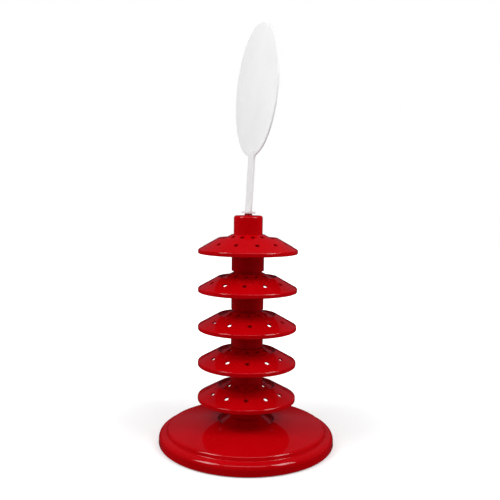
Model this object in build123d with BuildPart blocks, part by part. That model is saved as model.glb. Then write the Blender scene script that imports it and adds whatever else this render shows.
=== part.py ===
from build123d import *
from math import cos, hypot, radians, sin, tan
import os

# Five-tier countertop stand that holds sweets on sticks, with a blank round sign on top.
# Millimetres, +Z up. The origin is the centre of the circle that the feet stand on,
# the front is -Y, and +X is to the right of someone who stands in front.

# Stack
tier_pitch = 40.0          # height from one tier to the next, when its tube stands on the collar
base_rim_z = 25.8          # top of the rim round the base's well
wall = 2.0                 # moulded wall thickness
tier_turns = [13.0, -4.4, 4.0, 1.0, 0.0]   # how far each tier is turned, top tier first, degrees
tier_lifts = [2.5, 2.2, 0.6, 0.0, 0.4]     # how far each tube is left off the collar, top tier first

# Socket on top of every moulding: well, collar, spigot and boss. Heights are from the well's rim.
well_r = 31.8
well_floor_r = 30.4
well_depth = 3.4
collar_rise = 3.3          # foot of the spigot
sleeve_r = 18.0            # outside of the tube under each tier
spigot_r = 15.9
spigot_rise = 24.0
boss_r = 4.2
boss_h = 2.0
peg_hole_r = 3.0
running_gap = 0.1          # between a spigot and the tube that turns on it

# Tier
tier_r = 55.0
lip_h = 4.3
rim_rise = 17.5            # from the lip's lower edge up to the well's rim

# Stick holes
sticks = 12
stick_hole_r = 2.5
stick_ring_r = 42.5        # where a stick passes through the skirt
stick_tilt = 32.0          # from upright, degrees
hole_reach = 4.0           # how far each hole is cut to both sides of the surface

# Base
ground_gap = 0.8           # the feet hold the shell this far off the table
base_wall = 2.2
base_r = 98.8
base_draft = 0.7
shoulder_z = 13.2
step_r = 90.4
step_z = 12.9              # the ledge falls a little from the shoulder to the step
plateau_r = 88.2
plateau_z = 17.6

# Base cover, the pillars it is screwed to, and the ballast and feet that it carries
cover_r = 95.8
cover_z = 3.0
locating_h = 2.5
ballast_gap = 0.3          # between the ballast and the ring that locates it
ballast_r = 68.0
ballast_hole_r = 22.0
ballast_h = 3.0
foot_count = 4
foot_ring_r = 84.0
foot_r = 7.0
foot_recess = 0.6
foot_gap = 0.2             # between a foot and its recess
pillar_ring_r = 78.0
pillar_r = 4.0

# Cover screws
screw_count = 4
head_r = 3.2
head_h = 1.8
shank_r = 1.4
shank_length = 9.0
pilot_r = 1.45
clearance_r = 1.7
driver_span = 3.8
driver_w = 0.9
driver_depth = 1.0

# Sign
sign_lean = 2.7            # towards +X, from upright, degrees
sign_turn = 18.0           # direction the sign's back faces, from +X towards +Y, degrees
disc_r = 68.6
disc_t = 1.8
disc_centre = 130.0        # from the flange's underside
stem_w = 16.6
stem_t = 2.9
stem_lap = 5.0             # how far the stem runs into the disc
stem_fillet = 6.0
flange_r = 7.5
flange_t = 2.2
flange_gap = 0.05          # between the flange and the boss at the side where it is nearest
peg_r = 2.6
peg_length = 11.0

# Slopes of the cones, as rise over run
skirt_slope = (rim_rise - lip_h) / (tier_r - well_r)
plateau_slope = (base_rim_z - plateau_z) / (plateau_r - well_r)
stick_slope = 1 / tan(radians(stick_tilt))

collar_slope = (well_depth + collar_rise) / (well_floor_r - sleeve_r)

# Heights of a tube's end and of a stick hole, from the tier's lower edge
tube_end = rim_rise + collar_rise - tier_pitch
stick_hole_z = rim_rise - (stick_ring_r - well_r) * skirt_slope

# A stick leans out through the skirt and stands in a hole in the collar of the tier below, where its
# line meets the collar's. Heights are from that tier's own rim. The base's collar has no holes.
stick_line = tier_pitch - rim_rise + stick_hole_z - stick_ring_r * stick_slope
collar_line = collar_rise + sleeve_r * collar_slope
seat_r = (collar_line - stick_line) / (stick_slope + collar_slope)
seat_z = collar_line - seat_r * collar_slope


def under(slope, thickness):
    """How far the underside of a sloping wall lies straight below its top."""
    return thickness * hypot(1, slope)


def socket_top(rim_z):
    """Section of the socket's top from the well's rim inwards, round to the spigot's inner wall."""
    return [
        (well_r, rim_z),
        (well_floor_r, rim_z - well_depth),
        (sleeve_r, rim_z + collar_rise),
        (spigot_r, rim_z + collar_rise),
        (spigot_r, rim_z + spigot_rise),
        (boss_r, rim_z + spigot_rise),
        (boss_r, rim_z + spigot_rise + boss_h),
        (peg_hole_r, rim_z + spigot_rise + boss_h),
        (peg_hole_r, rim_z + spigot_rise - wall),
        (spigot_r - wall, rim_z + spigot_rise - wall),
    ]


def socket_roundings(rim_z):
    """Rounded corners of that section, each with its radius."""
    return [
        ((well_r, rim_z), 1.0),
        ((well_floor_r, rim_z - well_depth), 0.8),
        ((spigot_r, rim_z + spigot_rise), 2.8),
        ((boss_r, rim_z + spigot_rise), 0.8),
        ((boss_r, rim_z + spigot_rise + boss_h), 0.4),
    ]


def well_under(rim_z, outer_slope):
    """Underside of the well's wall, from the collar outwards to the cone outside the rim."""
    collar_under = rim_z + collar_rise - under(collar_slope, wall)
    trough_r = well_r - wall / 4
    fold_r = well_r + wall / 2
    return [
        (sleeve_r, collar_under),
        (trough_r, collar_under - (trough_r - sleeve_r) * collar_slope),
        (fold_r, rim_z - (fold_r - well_r) * outer_slope - under(outer_slope, wall)),
    ]


def stick_planes(radius, height, turn):
    """Planes square to the sticks, one at each place where a stick's axis has that radius and height."""
    lean = radians(stick_tilt)
    planes = []
    for stick in range(sticks):
        azimuth = radians(turn - 90 + stick * 360 / sticks)
        outward = Vector(cos(azimuth), sin(azimuth), 0)
        along = outward * sin(lean) + Vector(0, 0, cos(lean))
        centre = outward * radius + Vector(0, 0, height)
        planes.append(Plane(centre, x_dir=(-sin(azimuth), cos(azimuth), 0), z_dir=along))
    return planes


os.makedirs("parts", exist_ok=True)

# Base shell: a round stepped cover, open underneath, with a socket and four screw pillars
base_top = [
    (base_r, ground_gap),
    (base_r - base_draft, shoulder_z),
    (step_r, step_z),
    (plateau_r, plateau_z),
]
base_under = [
    (spigot_r - wall, base_rim_z + collar_rise - wall),
    *well_under(base_rim_z, plateau_slope),
    (plateau_r - wall, plateau_z - base_wall),
    (step_r - base_wall, step_z - base_wall),
    (base_r - base_wall - base_draft, shoulder_z - base_wall),
    (base_r - base_wall, ground_gap),
]
base_roundings = [
    ((base_r, ground_gap), 0.6),
    ((base_r - base_draft, shoulder_z), 6.2),
    ((step_r, step_z), 1.3),
    ((plateau_r, plateau_z), 3.2),
    ((base_r - base_wall - base_draft, shoulder_z - base_wall), 4.0),
]
with BuildPart() as base_shell:
    with BuildSketch(Plane.XZ) as base_section:
        with BuildLine():
            Polyline(*base_top, *socket_top(base_rim_z), *base_under, close=True)
        make_face()
        for corner, radius in base_roundings + socket_roundings(base_rim_z):
            fillet(base_section.vertices().sort_by_distance((*corner, 0))[0], radius)
    revolve(axis=Axis.Z)
    with BuildSketch(Plane.XY.offset(cover_z + wall)):
        with PolarLocations(pillar_ring_r, screw_count):
            Circle(pillar_r)
    extrude(amount=plateau_z - cover_z - wall)
    with BuildSketch(Plane.XY.offset(cover_z + wall)):
        with PolarLocations(pillar_ring_r, screw_count):
            Circle(pilot_r)
    extrude(amount=shank_length, mode=Mode.SUBTRACT)
base_shell.part.label = "base_shell"
export_step(base_shell.part, "parts/base_shell.step")

# Base cover: a flat plate under the shell, with a ring that locates the ballast, a recess for each
# foot and a hole for each screw
with BuildPart() as base_cover:
    with BuildSketch(Plane.XY.offset(cover_z)):
        Circle(cover_r)
    extrude(amount=wall)
    with BuildSketch(Plane.XY.offset(cover_z + wall)):
        Circle(ballast_r + ballast_gap + wall)
        Circle(ballast_r + ballast_gap, mode=Mode.SUBTRACT)
    extrude(amount=locating_h)
    with BuildSketch(Plane.XY.offset(cover_z)):
        with PolarLocations(foot_ring_r, foot_count, start_angle=45):
            Circle(foot_r + foot_gap)
    extrude(amount=foot_recess, mode=Mode.SUBTRACT)
    with Locations(Plane.XY.offset(cover_z)):
        with PolarLocations(pillar_ring_r, screw_count):
            Hole(clearance_r)
    chamfer(base_cover.edges().filter_by(GeomType.CIRCLE).sort_by(SortBy.RADIUS)[-2:], 0.4)
base_cover.part.label = "base_cover"
export_step(base_cover.part, "parts/base_cover.step")

# Ballast: a steel ring that keeps the loaded stand from tipping
with BuildPart() as ballast_ring:
    with BuildSketch(Plane.XY.offset(cover_z + wall)):
        Circle(ballast_r)
        Circle(ballast_hole_r, mode=Mode.SUBTRACT)
    extrude(amount=ballast_h)
    chamfer(ballast_ring.edges().filter_by(GeomType.CIRCLE), 0.3)
ballast_ring.part.label = "ballast_ring"
export_step(ballast_ring.part, "parts/ballast_ring.step")

# Feet: four round rubber pads, stuck in the cover's recesses
foot_places = PolarLocations(foot_ring_r, foot_count, start_angle=45).local_locations
for number, place in enumerate(foot_places, start=1):
    with BuildPart() as foot:
        with BuildSketch():
            with Locations(place):
                Circle(foot_r)
        extrude(amount=cover_z + foot_recess)
        chamfer(foot.edges().group_by(Axis.Z)[0], 0.5)
    foot.part.label = f"foot_{number}"
    export_step(foot.part, f"parts/foot_{number}.step")

# Cover screws: four cross-head screws from below into the shell's pillars
with BuildPart() as cover_screws:
    with BuildSketch(Plane.XY.offset(cover_z - head_h)):
        with PolarLocations(pillar_ring_r, screw_count):
            Circle(head_r)
    extrude(amount=head_h)
    chamfer(cover_screws.edges().group_by(Axis.Z)[0], 0.5)
    with BuildSketch(Plane.XY.offset(cover_z)):
        with PolarLocations(pillar_ring_r, screw_count):
            Circle(shank_r)
    extrude(amount=shank_length)
    chamfer(cover_screws.edges().group_by(Axis.Z)[-1], 0.8)
    with BuildSketch(Plane.XY.offset(cover_z - head_h)):
        with PolarLocations(pillar_ring_r, screw_count):
            Rectangle(driver_span, driver_w)
            Rectangle(driver_w, driver_span)
    extrude(amount=driver_depth, mode=Mode.SUBTRACT)
cover_screws.part.label = "cover_screws"
export_step(cover_screws.part, "parts/cover_screws.step")

# Tiers: five identical mouldings. Each has a cone-shaped skirt with a lip, a socket on top for the
# next tier, and a tube underneath that goes over the spigot below and turns on it.
tier_top = [(tier_r, 0), (tier_r, lip_h)]
stop_z = rim_rise + collar_rise - wall
bore_r = spigot_r + running_gap
lip_inner = lip_h + wall * skirt_slope - under(skirt_slope, wall)
tier_under = [
    (spigot_r - wall, stop_z),
    (bore_r, stop_z),
    (bore_r, tube_end),
    (sleeve_r, tube_end),
    *well_under(rim_rise, skirt_slope),
    (tier_r - wall, lip_inner),
    (tier_r - wall, 0),
]
tier_roundings = [
    ((tier_r, 0), 0.7),
    ((tier_r, lip_h), 1.6),
    ((tier_r - wall, 0), 0.5),
    ((tier_r - wall, lip_inner), 1.0),
    ((sleeve_r, tube_end), 0.3),
    ((bore_r, tube_end), 0.4),
]
rim_z = base_rim_z
for number in range(len(tier_turns), 0, -1):
    tier_z = rim_z + collar_rise + tier_lifts[number - 1] - tube_end
    rim_z = tier_z + rim_rise
    turn = tier_turns[number - 1]
    with BuildPart() as tier:
        with BuildSketch(Plane((0, 0, tier_z), x_dir=(1, 0, 0), z_dir=(0, -1, 0))) as tier_section:
            with BuildLine():
                Polyline(*tier_top, *socket_top(rim_rise), *tier_under, close=True)
            make_face()
            for corner, radius in tier_roundings + socket_roundings(rim_rise):
                fillet(tier_section.vertices().sort_by_distance((*corner, 0))[0], radius)
        revolve(axis=Axis.Z)
        with Locations(*stick_planes(stick_ring_r, tier_z + stick_hole_z, turn)):
            Hole(stick_hole_r, depth=hole_reach)
        with Locations(*stick_planes(seat_r, rim_z + seat_z, turn)):
            Hole(stick_hole_r, depth=hole_reach)
    tier.part.label = f"tier_{number}"
    export_step(tier.part, f"parts/tier_{number}.step")

# Sign: a thin round blank on a flat stem, with a small flange and a loose round peg below it. The
# peg stands in the top tier's boss and leans there, so the flange touches the boss on one side.
lean = radians(sign_lean)
facing = radians(sign_turn)
sign_up = Vector(sin(lean), 0, cos(lean))
sign_back = Vector(cos(facing), sin(facing), 0)
sign_across = sign_back.cross(sign_up).normalized()
boss_top_z = rim_z + spigot_rise + boss_h
pivot = Vector(0, 0, boss_top_z - (boss_h + wall) / 2)
flange_clear = boss_r * sin(lean) + flange_gap
flange_centre = pivot + sign_up * ((boss_top_z - pivot.Z + flange_clear) / cos(lean))
sign_face = Plane(flange_centre, x_dir=sign_across, z_dir=sign_across.cross(sign_up))
sign_base = Plane(flange_centre, x_dir=sign_across, z_dir=sign_up)
with BuildPart() as sign:
    with BuildSketch(sign_face) as outline:
        with Locations((0, disc_centre)):
            Circle(disc_r)
        with Locations((0, flange_t)):
            Rectangle(stem_w, disc_centre - disc_r, align=(Align.CENTER, Align.MIN))
        fillet(outline.vertices().sort_by(Axis.Y)[2:4], stem_fillet)
    extrude(amount=disc_t / 2, both=True)
    with BuildSketch(sign_face) as stem:
        with Locations((0, flange_t)):
            Rectangle(stem_w, disc_centre - disc_r + stem_lap - flange_t, align=(Align.CENTER, Align.MIN))
    extrude(amount=stem_t / 2, both=True)
    with BuildSketch(sign_base):
        Circle(flange_r)
    extrude(amount=flange_t)
    with BuildSketch(sign_base):
        Circle(peg_r)
    extrude(amount=-peg_length)
sign.part.label = "sign"
export_step(sign.part, "parts/sign.step")
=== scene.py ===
"""Five-tier stick display stand: glossy red mouldings and a blank white sign, in a white studio."""

import math

import bpy
from mathutils import Matrix, Vector

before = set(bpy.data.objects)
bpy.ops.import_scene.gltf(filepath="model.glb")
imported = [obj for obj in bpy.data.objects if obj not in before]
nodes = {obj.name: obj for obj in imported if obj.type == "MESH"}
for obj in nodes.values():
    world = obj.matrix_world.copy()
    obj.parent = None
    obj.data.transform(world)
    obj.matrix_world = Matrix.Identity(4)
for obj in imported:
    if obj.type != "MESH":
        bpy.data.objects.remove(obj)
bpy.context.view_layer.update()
scene = bpy.context.scene
scene.view_settings.view_transform = "Standard"

# Camera: above the top tier, looking down a little
CAMERA_BACK = 0.6684
CAMERA_HEIGHT = 0.2710
PITCH = 0.1211          # radians below the horizon
YAW = -0.016            # radians to the right
ROLL = 0.0102           # radians, turns the picture clockwise
FOCAL = 43.76           # mm on a 36 mm sensor
SHIFT = (0.024, 0.05)   # parts of the picture's width

# Light
LIGHTS = [              # name, azimuth from the camera towards +X, elevation, width, height, power
    ("softbox_left", -61, 42, 0.26, 0.34, 1.75),
    ("softbox_right", 59, 42, 0.26, 0.34, 1.75),
    ("strip_front", 0, 56, 0.60, 0.10, 0.55),
]
LIGHT_DISTANCE = 0.72
LIGHT_TARGET = 0.13     # height that the lights point at
FILL_FRONT = 0.08       # soft light from all round
FILL_SIDES = 1.05       # added towards the sides
FILL_TOP = 0.62         # towards the top
FILL_BACK = 0.45        # and towards the back
SKY_TINT = (0.92, 0.82, 1.06)
SKY = [                 # what the gloss mirrors behind and above: sine of the height, brightness
    (0.0, 0.03),
    (1.0, 0.10),
    (0.06, 0.012),
    (0.12, 0.015),
    (0.24, 0.10),
    (0.5, 0.10),
]
FLOOR_NEAR = 0.12       # the floor's own glow grows between these distances from the stand's axis
FLOOR_FAR = 0.5
FLOOR_GLOW = 0.20       # its glow under the stand
FLOOR_SIZE = 6
SKY_LEVEL = 0.25        # how bright the mirrored sky is at the sides, as a part of full
SKY_BEHIND = 0.75       # and how much it gains towards the back
NOISE_LOW = 0.3         # a noise's values between these two are spread over a material's full range
NOISE_HIGH = 0.7


def link(tree, source, output, target, socket):
    """Join two sockets of a node tree by name or number."""
    tree.links.new(source.outputs[output], target.inputs[socket])


def math_node(tree, operation, first, second=None, clamp=False):
    """A Math node fed by numbers or by (node, output) pairs."""
    made = tree.nodes.new("ShaderNodeMath")
    made.operation = operation
    made.use_clamp = clamp
    for place, value in enumerate((first, second)):
        if isinstance(value, tuple):
            link(tree, value[0], value[1], made, place)
        elif value is not None:
            made.inputs[place].default_value = value
    return made, 0


def add_camera():
    """The camera, turned by yaw, then pitch, then roll."""
    data = bpy.data.cameras.new("camera")
    data.lens = FOCAL
    data.sensor_width = 36
    data.shift_x, data.shift_y = SHIFT
    camera = bpy.data.objects.new("camera", data)
    scene.collection.objects.link(camera)
    look = (
        Matrix.Rotation(-YAW, 4, "Z")
        @ Matrix.Rotation(math.pi / 2 - PITCH, 4, "X")
        @ Matrix.Rotation(ROLL, 4, "Z")
    )
    camera.matrix_world = Matrix.Translation((0, -CAMERA_BACK, CAMERA_HEIGHT)) @ look
    scene.camera = camera


def add_light(name, azimuth, elevation, width, height, power):
    """A rectangular area light that points at the stand."""
    data = bpy.data.lights.new(name, "AREA")
    data.shape = "RECTANGLE"
    data.size = width
    data.size_y = height
    data.energy = power
    light = bpy.data.objects.new(name, data)
    scene.collection.objects.link(light)
    around, up = math.radians(azimuth), math.radians(elevation)
    towards = Vector((math.sin(around) * math.cos(up), -math.cos(around) * math.cos(up), math.sin(up)))
    light.location = towards * LIGHT_DISTANCE + Vector((0, 0, LIGHT_TARGET))
    light.rotation_euler = towards.to_track_quat("Z", "Y").to_euler()


def add_world():
    """White behind the stand, soft light mostly from the sides, and a dim sky for the gloss to mirror."""
    world = bpy.data.worlds.new("studio")
    world.use_nodes = True
    tree = world.node_tree
    tree.nodes.clear()
    place = tree.nodes.new("ShaderNodeTexCoord")
    split = tree.nodes.new("ShaderNodeSeparateXYZ")
    link(tree, place, "Generated", split, 0)
    sideways = math_node(tree, "POWER", math_node(tree, "ABSOLUTE", (split, 0)), 2)
    upward = math_node(tree, "POWER", math_node(tree, "MAXIMUM", (split, 2), 0.0), 2)
    fill = math_node(tree, "ADD", math_node(tree, "MULTIPLY", sideways, FILL_SIDES), FILL_FRONT)
    backward = math_node(tree, "POWER", math_node(tree, "MAXIMUM", (split, 1), 0.0), 2)
    fill = math_node(tree, "ADD", fill, math_node(tree, "MULTIPLY", upward, FILL_TOP))
    fill = math_node(tree, "ADD", fill, math_node(tree, "MULTIPLY", backward, FILL_BACK))
    behind = math_node(tree, "MULTIPLY_ADD", (split, 1), SKY_BEHIND)
    behind[0].inputs[2].default_value = SKY_LEVEL
    behind[0].use_clamp = True
    sky_ramp = tree.nodes.new("ShaderNodeValToRGB")
    for stop, (height, glow) in enumerate(SKY):
        point = sky_ramp.color_ramp.elements[stop] if stop < 2 else sky_ramp.color_ramp.elements.new(height)
        point.position = height
        point.color = (glow, glow, glow, 1)
    link(tree, split, 2, sky_ramp, 0)
    sky = math_node(tree, "MULTIPLY", (sky_ramp, 0), behind)
    shade = tree.nodes.new("ShaderNodeBackground")
    link(tree, *fill, shade, "Strength")
    mirror = tree.nodes.new("ShaderNodeBackground")
    mirror.inputs["Color"].default_value = (*SKY_TINT, 1)
    link(tree, *sky, mirror, "Strength")
    backdrop = tree.nodes.new("ShaderNodeBackground")
    backdrop.inputs["Color"].default_value = (1, 1, 1, 1)
    rays = tree.nodes.new("ShaderNodeLightPath")
    gloss_mix = tree.nodes.new("ShaderNodeMixShader")
    link(tree, rays, "Is Glossy Ray", gloss_mix, 0)
    link(tree, shade, 0, gloss_mix, 1)
    link(tree, mirror, 0, gloss_mix, 2)
    camera_mix = tree.nodes.new("ShaderNodeMixShader")
    link(tree, rays, "Is Camera Ray", camera_mix, 0)
    link(tree, gloss_mix, 0, camera_mix, 1)
    link(tree, backdrop, 0, camera_mix, 2)
    output = tree.nodes.new("ShaderNodeOutputWorld")
    link(tree, camera_mix, 0, output, 0)
    scene.world = world


def material(name, dark, light, blotch, rough, grain, grain_height, **constants):
    """A moulded or metal surface. Its colour runs from dark to light in blotches of the given size, its
    roughness between two values, and its relief has grain of the given size and height, in metres."""
    made = bpy.data.materials.new(name)
    made.use_nodes = True
    tree = made.node_tree
    shader = tree.nodes["Principled BSDF"]
    for socket, value in constants.items():
        shader.inputs[socket.replace("_", " ")].default_value = value
    place = tree.nodes.new("ShaderNodeTexCoord")

    def noise(size, detail, seed):
        made_noise = tree.nodes.new("ShaderNodeTexNoise")
        made_noise.noise_dimensions = "4D"
        made_noise.inputs["W"].default_value = seed
        made_noise.inputs["Scale"].default_value = 1 / size
        made_noise.inputs["Detail"].default_value = detail
        link(tree, place, "Object", made_noise, "Vector")
        return made_noise

    colour = tree.nodes.new("ShaderNodeValToRGB")
    colour.color_ramp.elements[0].position = NOISE_LOW
    colour.color_ramp.elements[0].color = (*dark, 1)
    colour.color_ramp.elements[1].position = NOISE_HIGH
    colour.color_ramp.elements[1].color = (*light, 1)
    link(tree, noise(blotch, 3, 1.7), "Fac", colour, 0)
    link(tree, colour, 0, shader, "Base Color")

    gloss = tree.nodes.new("ShaderNodeMapRange")
    gloss.inputs["From Min"].default_value = NOISE_LOW
    gloss.inputs["From Max"].default_value = NOISE_HIGH
    gloss.inputs["To Min"].default_value = rough[0]
    gloss.inputs["To Max"].default_value = rough[1]
    link(tree, noise(blotch / 3, 6, 5.1), "Fac", gloss, 0)
    link(tree, gloss, 0, shader, "Roughness")

    relief = tree.nodes.new("ShaderNodeBump")
    relief.inputs["Distance"].default_value = grain_height
    link(tree, noise(grain, 2, 9.3), "Fac", relief, "Height")
    link(tree, relief, 0, shader, "Normal")
    return made


def floor_material():
    """Matte white with a painted glow: its emission is weak near the stand, so the stand's soft shadow shows
    there, and grows outwards until the floor fades into the white backdrop.
    """
    made = material("floor", (0.93, 0.93, 0.93), (0.95, 0.95, 0.95), 0.5, (0.9, 0.95), 0.01, 0.00001)
    tree = made.node_tree
    place = tree.nodes.new("ShaderNodeTexCoord")
    reach = tree.nodes.new("ShaderNodeVectorMath")
    reach.operation = "LENGTH"
    link(tree, place, "Object", reach, 0)
    # painted glow: emission strength rises from FLOOR_GLOW near the stand's axis to full white further out
    fade = tree.nodes.new("ShaderNodeMapRange")
    fade.interpolation_type = "SMOOTHSTEP"
    fade.inputs["From Min"].default_value = FLOOR_NEAR
    fade.inputs["From Max"].default_value = FLOOR_FAR
    fade.inputs["To Min"].default_value = FLOOR_GLOW
    fade.inputs["To Max"].default_value = 1.0
    link(tree, reach, "Value", fade, 0)
    shader = tree.nodes["Principled BSDF"]
    shader.inputs["Emission Color"].default_value = (1, 1, 1, 1)
    link(tree, fade, 0, shader, "Emission Strength")
    return made


red = material("red_plastic", (0.50, 0.0, 0.002), (0.56, 0.001, 0.004), 0.05, (0.05, 0.09), 0.004, 0.000012)
white = material("white_plastic", (0.82, 0.82, 0.82), (0.86, 0.86, 0.86), 0.03, (0.42, 0.52), 0.001, 0.00001,
                 Subsurface_Weight=1.0, Subsurface_Radius=(1.0, 1.0, 1.0), Subsurface_Scale=0.003)
black = material("black_plastic", (0.012, 0.012, 0.013), (0.02, 0.02, 0.021), 0.02, (0.45, 0.6), 0.0006,
                 0.00003)
steel = material("ballast_steel", (0.32, 0.32, 0.33), (0.45, 0.45, 0.46), 0.015, (0.3, 0.5), 0.001, 0.00002,
                 Metallic=1.0)
zinc = material("screw_steel", (0.5, 0.5, 0.52), (0.62, 0.62, 0.62), 0.004, (0.2, 0.35), 0.0004, 0.000008,
                Metallic=1.0)
rubber = material("foot_rubber", (0.02, 0.02, 0.02), (0.035, 0.035, 0.035), 0.006, (0.7, 0.85), 0.0005,
                  0.00004)

finishes = {"base_cover": black, "ballast_ring": steel, "cover_screws": zinc, "sign": white}
for name, node in nodes.items():
    finish = rubber if name.startswith("foot") else finishes.get(name, red)
    node.data.materials.clear()
    node.data.materials.append(finish)

nodes["sign"].visible_glossy = False    # the slopes mirror only the studio

# Floor: it neither shows in the gloss nor lights the stand from below
bpy.ops.mesh.primitive_plane_add(size=FLOOR_SIZE)
floor = bpy.context.object
floor.name = "floor"
floor.data.materials.append(floor_material())
floor.visible_glossy = False
floor.visible_diffuse = False

add_camera()
for light in LIGHTS:
    add_light(*light)
add_world()
